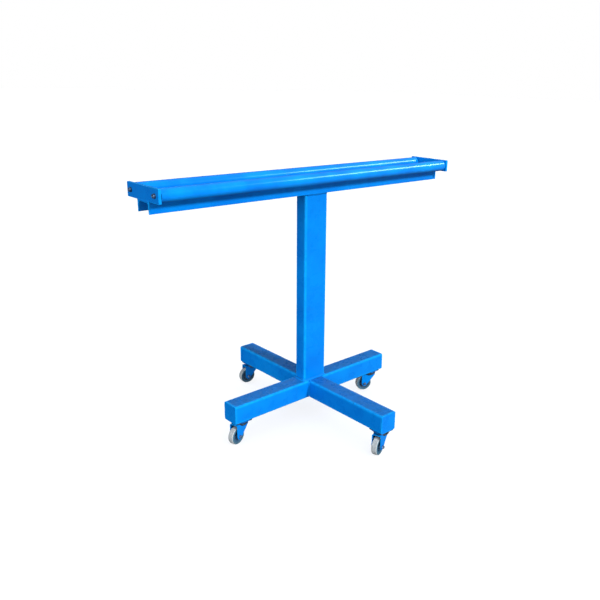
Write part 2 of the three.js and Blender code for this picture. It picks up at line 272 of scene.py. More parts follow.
class Shape:
    """A mesh being built, with one edge weight for each vertex."""

    def __init__(self):
        self.bm = bmesh.new()
        self.edge = self.bm.verts.layers.float.new("edge")

    def ring(self, points, matrix):
        """One vertex for each (x, y, z, weight), placed by the matrix."""
        made = []
        for x, y, z, weight in points:
            vertex = self.bm.verts.new(matrix @ Vector((x, y, z)))
            vertex[self.edge] = weight
            made.append(vertex)
        return made

    def bridge(self, first, second, closed=True, material=0):
        """Quads between two rings of the same length, or a fan where one ring is a single vertex."""
        count = max(len(first), len(second))
        for i in range(count if closed else count - 1):
            j = (i + 1) % count
            corners = [first[i % len(first)], first[j % len(first)]]
            corners += [second[j % len(second)], second[i % len(second)]]
            unique = list(dict.fromkeys(corners))
            face = self.bm.faces.new(unique)
            face.material_index = material

    def prism(self, outline, length, holes=(), rim=CUT_EDGE, matrix=None, margin=0.0):
        """The outline, less its holes, drawn along local Z from 0 to length, with its cut edges rounded.

        A margin keeps the edge weight, for wear and painted highlight, on the end faces within that
        distance of their edges.
        """
        matrix = matrix or Matrix.Identity(4)
        stations = []
        for step in range(RIM_STEPS + 1):
            angle = math.pi / 2 * step / RIM_STEPS
            stations.append((rim * (1 - math.sin(angle)), rim * (1 - math.cos(angle)), 1.0))
        if length > 3 * SHOULDER:
            stations.append((0.0, rim + SHOULDER, 0.0))
        if margin:
            stations.insert(0, (rim + margin, 0.0, 0.0))
        stations += [(cut, length - z, weight) for cut, z, weight in reversed(stations)]
        ends = [[], []]
        for loop in (outline, *holes):
            rings = []
            for cut, z, weight in stations:
                inner = cut > rim
                points = [(x, y, z, 0.0 if inner else max(w, weight)) for x, y, w in inset(loop, cut)]
                rings.append(self.ring(points, matrix))
            for lower, upper in zip(rings, rings[1:]):
                self.bridge(lower, upper)
            ends[0].append(rings[0])
            ends[1].append(rings[-1])
        for loops in ends:
            self.cap(loops)
        return self

    def cap(self, loops):
        """A flat face inside the first loop, less the others."""
        if len(loops) == 1:
            self.bm.faces.new(loops[0])
            return
        edges = []
        for loop in loops:
            for i, vertex in enumerate(loop):
                edges.append(self.bm.edges.get((vertex, loop[(i + 1) % len(loop)])))
        bmesh.ops.triangle_fill(self.bm, use_beauty=True, edges=edges)

    def lathe(self, profile, segments=48, closed=True, matrix=None, bands=None):
        """Profile points (radius, z, weight) turned round local Z.

        Bands give the material of each step of the profile.
        """
        matrix = matrix or Matrix.Identity(4)
        rings = []
        for radius, z, weight in profile:
            if radius < ON_AXIS:
                rings.append(self.ring([(0, 0, z, weight)], matrix))
                continue
            points = []
            for step in range(segments):
                angle = 2 * math.pi * step / segments
                points.append((*polar(radius, angle), z, weight))
            rings.append(self.ring(points, matrix))
        pairs = list(zip(rings, rings[1:]))
        if closed:
            pairs.append((rings[-1], rings[0]))
        for i, (first, second) in enumerate(pairs):
            if len(first) > 1 or len(second) > 1:
                self.bridge(first, second, material=bands[i] if bands else 0)
        return self

    def bead(self, path, leg, bulge, closed=False):
        """A weld bead. Each path station is (point, first wall, second wall, outward direction)."""
        rings = []
        travelled = 0.0
        wander = random.uniform(0, BEAD_WANDER)
        for i, (point, wall_a, wall_b, out) in enumerate(path):
            if i:
                travelled += (point - path[i - 1][0]).length
            swell = 1 + BEAD_SWELL * math.sin(travelled / BEAD_SWELL_LENGTH + wander)
            ring = []
            for k in range(BEAD_POINTS):
                t = k / (BEAD_POINTS - 1)
                lead = BEAD_LEAD * math.sin(math.pi * t)
                phase = ((travelled + lead) / BEAD_PITCH) % 1.0
                ripple = 1 - BEAD_RIPPLE + BEAD_RIPPLE * math.sin(math.pi * phase)
                chord = wall_a * (leg * (1 - t)) + wall_b * (leg * t)
                rise = out * (bulge * math.sin(math.pi * t) * ripple)
                ring.append(point + chord * swell + rise * swell)
            ring.append(point - out * BEAD_ROOT)
            rings.append(self.ring([(*p, BEAD_EDGE_WEAR_AND_HIGHLIGHT) for p in ring], Matrix.Identity(4)))
        for first, second in zip(rings, rings[1:]):
            self.bridge(first, second)
        if closed:
            self.bridge(rings[-1], rings[0])
        else:
            self.bm.faces.new(rings[0])
            self.bm.faces.new(rings[-1])
        return self

    def straight_bead(self, start, end, wall_a, wall_b, leg=5 * MM, bulge=1.3 * MM, out=None):
        """A bead along a straight corner, tapered at both ends."""
        start = Vector(start)
        end = Vector(end)
        wall_a = Vector(wall_a).normalized()
        wall_b = Vector(wall_b).normalized()
        out = Vector(out).normalized() if out else (wall_a + wall_b).normalized()
        count = max(4, round((end - start).length / BEAD_STEP))
        path = []
        for i in range(count + 1):
            taper = min(1.0, 0.35 + 0.25 * min(i, count - i))
            path.append((start.lerp(end, i / count), wall_a * taper, wall_b * taper, out * taper))
        return self.bead(path, leg, bulge)


def finish_piece(shape, name, materials, body, nodes=()):
    """Makes the object, shades it smooth, and fastens it to its CAD body."""
    bmesh.ops.recalc_face_normals(shape.bm, faces=shape.bm.faces)
    mesh = bpy.data.meshes.new(name)
    shape.bm.to_mesh(mesh)
    shape.bm.free()
    for material in materials:
        mesh.materials.append(material)
    mesh.shade_smooth()
    mesh.set_sharp_from_angle(angle=SHARP_ANGLE)
    piece = bpy.data.objects.new(name, mesh)
    bpy.context.scene.collection.objects.link(piece)
    weighted = piece.modifiers.new("weighted_normals", "WEIGHTED_NORMAL")
    weighted.keep_sharp = True
    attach(piece, body)
    if nodes:
        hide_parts(*nodes)
    return piece


def painted(shape, name, nodes=()):
    """A painted piece of the welded stand."""
    return finish_piece(shape, name, [PAINT], "stand", nodes)


# ---- materials


class NodeTree:
    """Short calls for building a tree of shader nodes."""

    def __init__(self, tree):
        self.tree = tree

    def link(self, value, socket):
        """Links a socket, or sets a plain value."""
        if isinstance(value, bpy.types.NodeSocket):
            self.tree.links.new(value, socket)
        else:
            socket.default_value = value

    def add(self, kind, **inputs):
        """A new node with the named inputs linked or set."""
        node = self.tree.nodes.new(f"ShaderNode{kind}")
        for name, value in inputs.items():
            self.link(value, node.inputs[name.replace("_", " ")])
        return node


class Nodes(NodeTree):
    """The nodes of one material."""

    def __init__(self, name):
        self.material = bpy.data.materials.new(name)
        self.material.use_nodes = True
        super().__init__(self.material.node_tree)
        self.shader = self.tree.nodes["Principled BSDF"]
        self.coordinates = self.add("TexCoord").outputs["Object"]

    def scaled(self, scale):
        """Object coordinates stretched by a factor for each axis."""
        return self.add("Mapping", Vector=self.coordinates, Scale=scale).outputs["Vector"]

    def noise(self, scale, detail=3.0, roughness=0.5, vector=None):
        """Noise from 0 to 1."""
        place = vector or self.coordinates
        node = self.add("TexNoise", Vector=place, Scale=scale, Detail=detail, Roughness=roughness)
        return node.outputs["Fac"]

    def ramp(self, value, low=0.3, high=0.7, to_low=0.0, to_high=1.0):
        """The value, taken from one range to another and held at its ends."""
        node = self.add("MapRange", Value=value, From_Min=low, From_Max=high, To_Min=to_low, To_Max=to_high)
        node.interpolation_type = "SMOOTHSTEP"
        return node.outputs["Result"]

    def math(self, operation, a, b):
        """One arithmetic step."""
        node = self.add("Math")
        node.operation = operation
        self.link(a, node.inputs[0])
        self.link(b, node.inputs[1])
        return node.outputs[0]

    def blend(self, share, a, b):
        """Colour a where share is 0, and colour b where it is 1."""
        node = self.add("Mix")
        node.data_type = "RGBA"
        self.link(share, node.inputs["Factor"])
        self.link((*a, 1) if isinstance(a, tuple) else a, node.inputs["A"])
        self.link((*b, 1) if isinstance(b, tuple) else b, node.inputs["B"])
        return node.outputs["Result"]

    def stained(self, colour, mask, amount, stain):
        """The colour, with a stain laid over it where the mask is."""
        return self.blend(self.math("MULTIPLY", mask, amount), colour, stain)

    def raised(self, value, mask, amount):
        """The value, made larger by an amount where the mask is."""
        return self.math("ADD", value, self.math("MULTIPLY", mask, amount))

    def worn_edge(self):
        """The edge weight stored on the mesh."""
        node = self.add("Attribute")
        node.attribute_name = "edge"
        return node.outputs["Fac"]

    def facing_up(self):
        """1 where the surface looks up, 0 on upright surfaces. Only for pieces that stay upright."""
        normal = self.add("NewGeometry").outputs["Normal"]
        return self.ramp(self.add("SeparateXYZ", Vector=normal).outputs["Z"], 0.55, 0.97)

    def bump(self, height, strength, distance, below=None):
        """A bump, laid over another if one is given."""
        node = self.add("Bump", Height=height, Strength=strength, Distance=distance)
        if below is not None:
            self.link(below, node.inputs["Normal"])
        return node.outputs["Normal"]

    def output(self, colour, roughness, normal=None, **constants):
        """Drives the shader, and returns the material."""
        self.link(colour, self.shader.inputs["Base Color"])
        self.link(roughness, self.shader.inputs["Roughness"])
        if normal is not None:
            self.link(normal, self.shader.inputs["Normal"])
        for name, value in constants.items():
            self.shader.inputs[name.replace("_", " ")].default_value = value
        return self.material


PAINT_DEEP = (0.0002, 0.140, 0.560)
PAINT_MAIN = (0.0003, 0.195, 0.650)
# Paler blue: wear on rubbed places, and on edges partly wear, partly painted highlight.
PAINT_PALE = (0.0030, 0.310, 0.800)
# Darker, muted blue: dust on rubbed places, and partly painted shade on top faces.
PAINT_DUST_AND_SHADE = (0.0110, 0.105, 0.330)
BARE_DARK = (0.020, 0.030, 0.050)
GLOSS_TINT = (0.15, 0.62, 1.0, 1.0)


def paint_material(name, dust, gloss, upright):
    """Gloss azure paint with orange peel, rubbed places and chips; its pale edges are wear and painted
    highlight, its darker top film dust and painted shade.
    """
    n = Nodes(name)
    cloud = n.noise(5.5, 4, 0.55)
    mottle = n.noise(38, 5, 0.62)
    colour = n.blend(n.ramp(cloud), PAINT_DEEP, PAINT_MAIN)
    rubbed = n.math("MULTIPLY", n.ramp(mottle, 0.48, 0.72), n.ramp(n.noise(7, 2), 0.42, 0.66))
    if upright:
        # Top faces go toward a darker, muted blue: partly dust, partly painted shade.
        top_dust_and_shade = n.math("MULTIPLY", n.facing_up(), n.ramp(mottle, 0.25, 0.75, 0.45, 1.0))
        top_dust_and_shade = n.math("MULTIPLY", top_dust_and_shade, dust)
        colour = n.blend(top_dust_and_shade, colour, PAINT_DUST_AND_SHADE)
    colour = n.stained(colour, rubbed, 0.14, PAINT_DUST_AND_SHADE)
    edge = n.worn_edge()
    # Edges go toward a paler blue: partly wear, partly painted highlight.
    pale_edge_wear_and_highlight = n.math("MULTIPLY", edge, n.ramp(n.noise(60, 4), 0.2, 0.7, 0.25, 0.75))
    colour = n.blend(pale_edge_wear_and_highlight, colour, PAINT_PALE)
    chip = n.math("MULTIPLY", n.ramp(n.noise(170, 4, 0.6), 0.665, 0.69), n.ramp(edge, 0.55, 0.9))
    colour = n.blend(chip, colour, BARE_DARK)
    scratches = n.noise(1, 3, 0.6, n.scaled((140, 140, 900)))
    rough = n.ramp(n.noise(22, 5, 0.6), 0.3, 0.75, gloss - 0.05, gloss + 0.11)
    rough = n.raised(n.raised(rough, rubbed, 0.16), chip, 0.3)
    peel = n.bump(n.noise(420, 2, 0.4), 0.12, 0.4 * MM)
    marks = n.bump(n.ramp(scratches, 0.35, 0.7), 0.05, 0.2 * MM, peel)
    chips = n.bump(n.math("SUBTRACT", 1.0, chip), 0.5, 0.3 * MM, marks)
    return n.output(colour, rough, chips, Specular_IOR_Level=0.18, Specular_Tint=GLOSS_TINT)


def roller_material():
    """Smooth azure paint, rubbed in rings where a bead has run."""
    n = Nodes("azure_roller_paint")
    colour = n.blend(n.ramp(n.noise(9, 3)), PAINT_DEEP, PAINT_MAIN)
    rings = n.noise(1, 4, 0.65, n.scaled((420, 6, 6)))
    patches = n.ramp(n.noise(3.5, 3), 0.5, 0.75)
    rubbed = n.math("MULTIPLY", n.ramp(rings, 0.52, 0.7), patches)
    colour = n.stained(colour, rubbed, 0.35, PAINT_PALE)
    # Paler tube edges: partly wear, partly painted highlight.
    colour = n.stained(colour, n.worn_edge(), 0.5, PAINT_PALE)
    rough = n.raised(n.ramp(n.noise(30, 4), 0.3, 0.7, 0.17, 0.23), rubbed, 0.12)
    peel = n.bump(n.noise(380, 2), 0.08, 0.3 * MM)
    marks = n.bump(rings, 0.04, 0.1 * MM, peel)
    return n.output(colour, rough, marks, Specular_IOR_Level=0.42, Specular_Tint=GLOSS_TINT)


def steel_material(name, dark, bright, roughness, metallic):
    """Steel with turning marks, stains and edges rubbed bright."""
    n = Nodes(name)
    stain = n.noise(65, 5, 0.6)
    colour = n.blend(n.ramp(stain, 0.35, 0.7), dark, bright)
    colour = n.stained(colour, n.worn_edge(), 0.35, tuple(min(1, 1.6 * c) for c in bright))
    rough = n.ramp(stain, 0.3, 0.7, roughness - 0.08, roughness + 0.12)
    fine = n.bump(n.noise(1, 3, 0.6, n.scaled((300, 300, 1500))), 0.08, 0.1 * MM)
    pits = n.bump(n.noise(800, 3), 0.06, 0.1 * MM, fine)
    return n.output(colour, rough, pits, Metallic=metallic)


def tread_material(name, dark, pale):
    """Rubber with dust worked into it and paler rubbed edges."""
    n = Nodes(name)
    colour = n.blend(n.ramp(n.noise(40, 5, 0.6)), dark, pale)
    grime = n.ramp(n.noise(14, 4, 0.6), 0.5, 0.72)
    colour = n.stained(colour, grime, 0.5, tuple(0.5 * c for c in dark))
    colour = n.stained(colour, n.worn_edge(), 0.4, tuple(1.25 * c for c in pale))
    rough = n.ramp(n.noise(90, 4), 0.3, 0.7, 0.55, 0.82)
    grain = n.bump(n.noise(1400, 3, 0.6), 0.25, 0.15 * MM)
    scuffs = n.bump(n.noise(160, 5, 0.65), 0.18, 0.3 * MM, grain)
    return n.output(colour, rough, scuffs, Specular_IOR_Level=0.35)


def core_material():
    """Dark blue moulded plastic with a fine grain."""
    n = Nodes("navy_moulded_plastic")
    colour = n.blend(n.ramp(n.noise(30, 4)), (0.020, 0.065, 0.130), (0.036, 0.105, 0.190))
    colour = n.stained(colour, n.worn_edge(), 0.35, (0.05, 0.13, 0.24))
    rough = n.ramp(n.noise(70, 4), 0.3, 0.7, 0.34, 0.5)
    grain = n.bump(n.noise(1100, 2), 0.18, 0.1 * MM)
    return n.output(colour, rough, grain)


def seal_material():
    """Black rubber bearing seal with a little grease on it."""
    n = Nodes("black_seal_rubber")
    colour = n.blend(n.ramp(n.noise(120, 4)), (0.008, 0.008, 0.009), (0.024, 0.023, 0.021))
    rough = n.ramp(n.noise(90, 3), 0.35, 0.65, 0.3, 0.6)
    return n.output(colour, rough, n.bump(n.noise(700, 2), 0.12, 0.1 * MM))


def floor_material():
    """Pale matt studio floor."""
    n = Nodes("pale_floor")
    colour = n.blend(n.ramp(n.noise(0.8, 3)), (0.93, 0.93, 0.93), (0.95, 0.95, 0.95))
    rough = n.ramp(n.noise(3, 3), 0.3, 0.7, 0.5, 0.6)
    return n.output(colour, rough, None, Specular_IOR_Level=0.0)


PAINT = paint_material("azure_frame_paint", dust=0.9, gloss=0.27, upright=True)
FORK_PAINT = paint_material("azure_fork_paint", dust=0.0, gloss=0.3, upright=False)
ROLLER_PAINT = roller_material()
STEEL = steel_material("zinc_steel", (0.40, 0.41, 0.43), (0.62, 0.63, 0.65), 0.30, 1.0)
FASTENER = steel_material("dull_zinc", (0.05, 0.10, 0.18), (0.13, 0.20, 0.30), 0.42, 0.8)
# Dark steel: its darkness is partly painted shade, for the plates, races and crowns that sit in shade under
# the arms.
DARK_STEEL = steel_material("dark_steel_painted_shade", (0.022, 0.034, 0.052), (0.060, 0.085, 0.125), 0.42, 0.7)
RUBBER = tread_material("grey_tread_rubber", (0.26, 0.29, 0.31), (0.42, 0.45, 0.47))
SIDE_RUBBER = tread_material("teal_side_rubber", (0.035, 0.095, 0.140), (0.060, 0.140, 0.200))
CORE = core_material()
SEAL = seal_material()


# ---- frame pieces


def placed_along_x(low, high):
    """Places a profile in the middle of a box, to run along X from the box's low end."""
    middle = (low + high) / 2
    return Matrix.Translation((low.x, middle.y, middle.z)) @ ALONG_X


def node_frame(node, axis):
    """Width, height and length of a node in a profile's axes, and the matrix that places the profile."""
    low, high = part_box(node)
    size = high - low
    middle = (low + high) / 2
    if axis == "x":
        return size.y, size.z, size.x, placed_along_x(low, high)
    if axis == "y":
        return size.z, size.x, size.y, Matrix.Translation((middle.x, low.y, middle.z)) @ ALONG_Y
    return size.x, size.y, size.z, Matrix.Translation((middle.x, middle.y, low.z))


def hollow_section(name, node, axis, corner, wall):
    """A rectangular tube in the place of a CAD node."""
    width, height, length, matrix = node_frame(node, axis)
    inside = rounded_rect(width - 2 * wall, height - 2 * wall, corner - wall)
    shape = Shape()
    shape.prism(rounded_rect(width, height, corner), length, [inside[::-1]], matrix=matrix)
    painted(shape, name, [node])


def arm_cap(name, node, axis):
    """A closing plate at the end of a base arm, with its edges ground round."""
    width, height, length, matrix = node_frame(node, axis)
    outline = rounded_rect(width, height, BASE_CORNER)
    shape = Shape().prism(outline, length, rim=CAP_EDGE, matrix=matrix, margin=FACE_MARGIN)
    painted(shape, name, [node])


def channel_outline(width, depth):
    """Section of the channel, open side down, with rounded toes and roots."""
    half = width / 2
    top = depth / 2
    web = top - BEAM_WEB
    corners = [
        (half, -top, 1.5),
        (half, top, 1.8),
        (-half, top, 1.8),
        (-half, -top, 1.5),
        (-half + FLANGE_TIP, -top, 3.5),
        (-half + FLANGE_ROOT, web, 8),
        (half - FLANGE_ROOT, web, 8),
        (half - FLANGE_TIP, -top, 3.5),
    ]
    return soften(corners)


def beam_box():
    """Lowest and highest corner of the whole channel, which is three CAD nodes."""
    boxes = [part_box(node) for node in BEAM_NODES]
    low = Vector([min(box[0][i] for box in boxes) for i in range(3)])
    high = Vector([max(box[1][i] for box in boxes) for i in range(3)])
    return low, high


def channel_beam():
    """The long channel on top of the column."""
    low, high = beam_box()
    outline = channel_outline(high.y - low.y, high.z - low.z)
    shape = Shape().prism(outline, high.x - low.x, matrix=placed_along_x(low, high))
    painted(shape, "channel_beam", BEAM_NODES)


def end_plate(side):
    """A flat-bar plate with a hole for each roller shaft."""
    node = f"end_plate_{side}"
    width, height, thickness, matrix = node_frame(node, "x")
    low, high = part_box(node)
    middle = (low + high) / 2
    holes = []
    for roller in ("roller_front", "roller_back"):
        shaft_low, shaft_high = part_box(f"{roller}_shaft")
        place = (shaft_low + shaft_high) / 2 - middle
        holes.append(circle(SHAFT_RADIUS + HOLE_CLEARANCE, place.y, place.z, 40, clockwise=True))
    outline = rounded_rect(width, height, PLATE_CORNER)
    shape = Shape().prism(outline, thickness, holes, matrix=matrix, margin=PLATE_MARGIN)
    painted(shape, f"flat_plate_{side}", [node])


def base_welds():
    """Beads where the side arms meet the through bar."""
    shape = Shape()
    bar_low, bar_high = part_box("base_bar")
    for sign in (-1, 1):
        x = sign * bar_high.x
        for side in (-1, 1):
            y = side * bar_high.x
            start = (x, y, bar_low.z + 5 * MM)
            end = (x, y, bar_high.z - 5 * MM)
            shape.straight_bead(start, end, (0, side, 0), (sign, 0, 0), leg=5.5 * MM)
        for z, up in ((bar_high.z, 1), (bar_low.z, -1)):
            seam_x = x - sign * 3.4 * MM
            start = (seam_x, -bar_high.x + 6 * MM, z - up * 0.4 * MM)
            end = (seam_x, bar_high.x - 6 * MM, z - up * 0.4 * MM)
            shape.straight_bead(start, end, (-1, 0, 0), (1, 0, 0), 5.2 * MM, 1.1 * MM, (0, 0, up))
    painted(shape, "welds_base")


def column_foot_weld():
    """A bead right round the foot of the column."""
    low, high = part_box("column")
    outline = rounded_rect(high.x - low.x, high.y - low.y, COLUMN_CORNER)
    count = len(outline)
    up = Vector((0, 0, 1))
    path = []
    for i, (x, y, _) in enumerate(outline):
        after = outline[(i + 1) % count]
        span = Vector((after[0] - x, after[1] - y, 0))
        steps = max(1, round(span.length / BEAD_STEP))
        before = outline[i - 1]
        along = Vector((after[0] - before[0], after[1] - before[1], 0)).normalized()
        following = outline[(i + 2) % count]
        along_next = Vector((following[0] - x, following[1] - y, 0)).normalized()
        for step in range(steps):
            t = step / steps
            heading = along.lerp(along_next, t).normalized()
            outward = Vector((heading.y, -heading.x, 0))
            point = Vector((x, y, low.z)) + span * t
            path.append((point, outward, up, (outward + up).normalized()))
    shape = Shape().bead(path, 6 * MM, 1.5 * MM, closed=True)
    painted(shape, "weld_column_foot")


def beam_welds():
    """Beads between the column and the channel, and between the channel and the end plates."""
    shape = Shape()
    column_low, column_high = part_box("column")
    beam_low, beam_high = beam_box()
    for side in (-1, 1):
        y = side * column_high.y
        start = (column_low.x + 6 * MM, y, beam_low.z)
        end = (column_high.x - 6 * MM, y, beam_low.z)
        shape.straight_bead(start, end, (0, side, 0), (0, 0, -1), leg=7 * MM, bulge=1.4 * MM)
    for side in ("left", "right"):
        low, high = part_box(f"end_plate_{side}")
        inward, inner_x, outer_x = (1, high.x, low.x) if side == "left" else (-1, low.x, high.x)
        reach = beam_high.y - 3 * MM
        start = (inner_x, -reach, beam_high.z)
        end = (inner_x, reach, beam_high.z)
        shape.straight_bead(start, end, (inward, 0, 0), (0, 0, 1), leg=5 * MM)
        start = (outer_x, -reach, beam_high.z)
        end = (outer_x, reach, beam_high.z)
        shape.straight_bead(start, end, (0, 0, -1), (0, 0, 1), 4 * MM, 1.2 * MM, (-inward, 0, 0))
    painted(shape, "welds_beam")


# ---- rollers


def roller_shell(roller):
    """The roller's tube."""
    low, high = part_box(f"{roller}_tube")
    radius = (high.z - low.z) / 2
    length = high.x - low.x
    corners = [
        (radius, 0, 1.6),
        (radius, length, 1.6),
        (radius - ROLLER_WALL, length, 0.6),
        (radius - ROLLER_WALL, 0, 0.6),
    ]
    shape = Shape().lathe(soften(corners), ROLLER_SEGMENTS, matrix=placed_along_x(low, high))
    nodes = [f"{roller}_tube"]
    return finish_piece(shape, f"{roller}_shell", [ROLLER_PAINT], roller, nodes)


def roller_shaft(roller):
    """The fixed shaft, with a groove and a centre drilling at each end."""
    low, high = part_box(f"{roller}_shaft")
    plate_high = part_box("end_plate_right")[1]
    half = (high.x - low.x) / 2
    groove = plate_high.x + 0.6 * MM
    half_profile = [
        (SHAFT_RADIUS, groove, 0),
        (GROOVE_RADIUS, groove + 0.05 * MM, 0),
        (GROOVE_RADIUS, groove + CLIP_THICKNESS + 0.4 * MM, 0),
        (SHAFT_RADIUS, groove + CLIP_THICKNESS + 0.45 * MM, 0),
        (SHAFT_RADIUS, half, 1.2),
        (2.6 * MM, half, 0.3),
        (1.0 * MM, half - 1.6 * MM, 0.2),
        (0, half - 3.4 * MM, 0),
    ]
    middle = (low + high) / 2
    matrix = Matrix.Translation((0, middle.y, middle.z)) @ ALONG_X
    profile = soften(mirrored(half_profile), closed=False)
    shape = Shape().lathe(profile, 64, closed=False, matrix=matrix)
    finish_piece(shape, f"{roller}_axle", [FASTENER], "stand", [f"{roller}_shaft"])


def clip_outline():
    """An open spring ring with an eye at each end."""
    outer = []
    inner = []
    for step in range(CLIP_STEPS + 1):
        angle = CLIP_GAP + (2 * math.pi - 2 * CLIP_GAP) * step / CLIP_STEPS
        lug = max(0.0, 1 - min(step, CLIP_STEPS - step) / 3)
        radius = CLIP_RING + lug * (CLIP_OUTER - CLIP_RING)
        outer.append((*polar(radius, angle), CLIP_WEAR))
        angle = CLIP_GAP * 0.8 + (2 * math.pi - 1.6 * CLIP_GAP) * step / CLIP_STEPS
        inner.append((*polar(CLIP_INNER, angle), CLIP_WEAR))
    return outer + inner[::-1]


def retaining_clip(roller, side):
    """The spring ring that holds the shaft against its plate."""
    node = f"{roller}_clip_{side}"
    low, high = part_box(node)
    turn = Matrix.Rotation(random.uniform(-CLIP_TURN, CLIP_TURN), 4, "Z")
    matrix = placed_along_x(low, high) @ turn
    shape = Shape().prism(clip_outline(), high.x - low.x, rim=0.25 * MM, matrix=matrix)
    finish_piece(shape, f"{roller}_ring_{side}", [DARK_STEEL], "stand", [node])


def end_matrix(node, side):
    """Places a profile at the outer end of a node, its local Z pointing to the middle of the roller."""
    low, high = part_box(node)
    if side == "left":
        return placed_along_x(low, high)
    length = Matrix.Translation((high.x - low.x, 0, 0))
    return length @ placed_along_x(low, high) @ Matrix.Rotation(math.pi, 4, "Y")


def roller_hub(roller, side):
    """The pressed-in plug that holds the bearing."""
    node = f"{roller}_hub_{side}"
    low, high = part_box(node)
    outer = (high.z - low.z) / 2
    depth = high.x - low.x
    bore = BEARING_OUTER + HOLE_CLEARANCE
    seat = BEARING_WIDTH + HOLE_CLEARANCE
    corners = [
        (bore, 0, 0.5),
        (outer, 0, 0.6),
        (outer, depth, 0.6),
        (10 * MM, depth, 0.4),
        (10 * MM, seat, 0.2),
        (bore, seat, 0.4),
    ]
    shape = Shape().lathe(soften(corners), 48, matrix=end_matrix(node, side))
    finish_piece(shape, f"{roller}_plug_{side}", [DARK_STEEL], roller, [node])


def roller_bearing(roller, side):
    """A sealed ball bearing: bright rings with a black seal set back between them."""
    node = f"{roller}_bearing_{side}"
    low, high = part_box(node)
    outer = (high.z - low.z) / 2
    width = high.x - low.x
    bore = SHAFT_RADIUS + HOLE_CLEARANCE
    outer_lip = outer - 2.6 * MM
    inner_lip = bore + 2.4 * MM
    recess = 0.5 * MM
    face = [
        (bore, 0, 1),
        (inner_lip, 0, 1),
        (inner_lip, recess, 0),
        (outer_lip, recess, 0),
        (outer_lip, 0, 1),
        (outer, 0, 1),
    ]
    profile = face + [(radius, width - z, weight) for radius, z, weight in reversed(face)]
    bands = [0, 0, 1, 0, 0, 0] + [0, 0, 1, 0, 0, 0]
    shape = Shape().lathe(profile, 48, matrix=end_matrix(node, side), bands=bands)
    finish_piece(shape, f"{roller}_race_{side}", [STEEL, SEAL], roller, [node])


# ---- castors


class Castor:
    """Where one castor stands and which way it trails, read from its CAD nodes."""

    def __init__(self, name):
        self.name = name
        pin_low, pin_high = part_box(f"{name}_kingpin")
        wheel_low, wheel_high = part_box(f"{name}_tread")
        plate_low, plate_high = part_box(f"{name}_mount_plate")
        pin = (pin_low + pin_high) / 2
        wheel = (wheel_low + wheel_high) / 2
        angle = math.atan2(wheel.y - pin.y, wheel.x - pin.x)
        self.trail = math.hypot(wheel.x - pin.x, wheel.y - pin.y)
        self.axle_z = wheel.z
        self.wheel_radius = (wheel_high.z - wheel_low.z) / 2
        self.plate_size = plate_high.x - plate_low.x
        self.plate_top = plate_high.z
        self.race_bottom = plate_low.z
        self.crown_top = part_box(f"{name}_fork")[1].z
        self.pin_bottom = pin_low.z
        self.stand = Matrix.Translation((pin.x, pin.y, 0))
        self.swivel = self.stand @ Matrix.Rotation(angle, 4, "Z")
        self.axle = self.swivel @ Matrix.Translation((self.trail, 0, self.axle_z)) @ AXLE_TURN

    def piece(self, shape, name, materials, body, node, slot):
        """Finishes one piece that turns with this castor. The crown has no node of its own."""
        nodes = [f"{self.name}_{node}"] if node else []
        return finish_piece(shape, f"{self.name}_{name}", materials, f"{self.name}_{body}", nodes)


def castor_plate(castor):
    """The plate under the arm, with the swivel race pressed below it."""
    shape = Shape()
    plate = rounded_rect(castor.plate_size, castor.plate_size, 6 * MM)
    base = castor.stand @ Matrix.Translation((0, 0, castor.plate_top - PLATE_DEPTH))
    shape.prism(plate, PLATE_DEPTH, matrix=base)
    bottom = castor.race_bottom
    top = castor.plate_top - PLATE_DEPTH + 0.5 * MM
    corners = [
        (RACE_BORE, bottom, 0),
        (22 * MM, bottom, 0.5),
        (23 * MM, bottom + 0.8 * MM, 0.5),
        (28.6 * MM, bottom, 1.0),
        (RACE_RADIUS, bottom + 1.2 * MM, 1.2),
        (RACE_RADIUS, bottom + 4.2 * MM, 1.0),
        (29.2 * MM, bottom + 5.2 * MM, 0.6),
        (30.4 * MM, top, 0),
        (RACE_BORE, top, 0),
    ]
    shape.lathe(soften(corners), 64, matrix=castor.stand)
    node = f"{castor.name}_mount_plate"
    finish_piece(shape, f"{castor.name}_top_plate", [DARK_STEEL], "stand", [node])


def inside_base(point):
    """True where a point isn't past the end of any base arm."""
    half_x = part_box("base_cap_right")[1].x
    half_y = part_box("base_cap_back")[1].y
    return abs(point.x) < half_x and abs(point.y) < half_y


def castor_plate_welds(castor):
    """Short beads that hold the plate to the underside of the arm."""
    shape = Shape()
    half = castor.plate_size / 2
    reach = 22 * MM
    centre = castor.stand.to_translation()
    for turn in range(4):
        spin = Matrix.Rotation(math.pi / 2 * turn, 3, "Z")
        outward = spin @ Vector((1, 0, 0))
        along = spin @ Vector((0, 1, 0))
        middle = centre + outward * half + Vector((0, 0, castor.plate_top))
        if not inside_base(middle + outward * 4 * MM):
            continue
        start = middle - along * reach
        end = middle + along * reach
        shape.straight_bead(start, end, outward, (0, 0, -1), leg=3.4 * MM, bulge=0.8 * MM)
    painted(shape, f"{castor.name}_welds")


def castor_kingpin(castor):
    """The swivel pin, its head peened over under the crown."""
    bottom = castor.pin_bottom
    corners = [
        (0, bottom, 0),
        (PIN_RADIUS, bottom + 0.2 * MM, 1.5),
        (9.2 * MM, bottom + 1.8 * MM, 1.5),
        (10 * MM, bottom + 3.4 * MM, 0.8),
        (10 * MM, bottom + 5 * MM, 0.2),
        (PIN_RADIUS, bottom + 5 * MM, 0),
        (PIN_RADIUS, castor.plate_top - 0.3 * MM, 0.5),
        (0, castor.plate_top - 0.3 * MM, 0),
    ]
    shape = Shape().lathe(soften(corners, closed=False), 40, closed=False, matrix=castor.stand)
    node = f"{castor.name}_kingpin"
    finish_piece(shape, f"{castor.name}_pivot", [DARK_STEEL], "stand", [node])


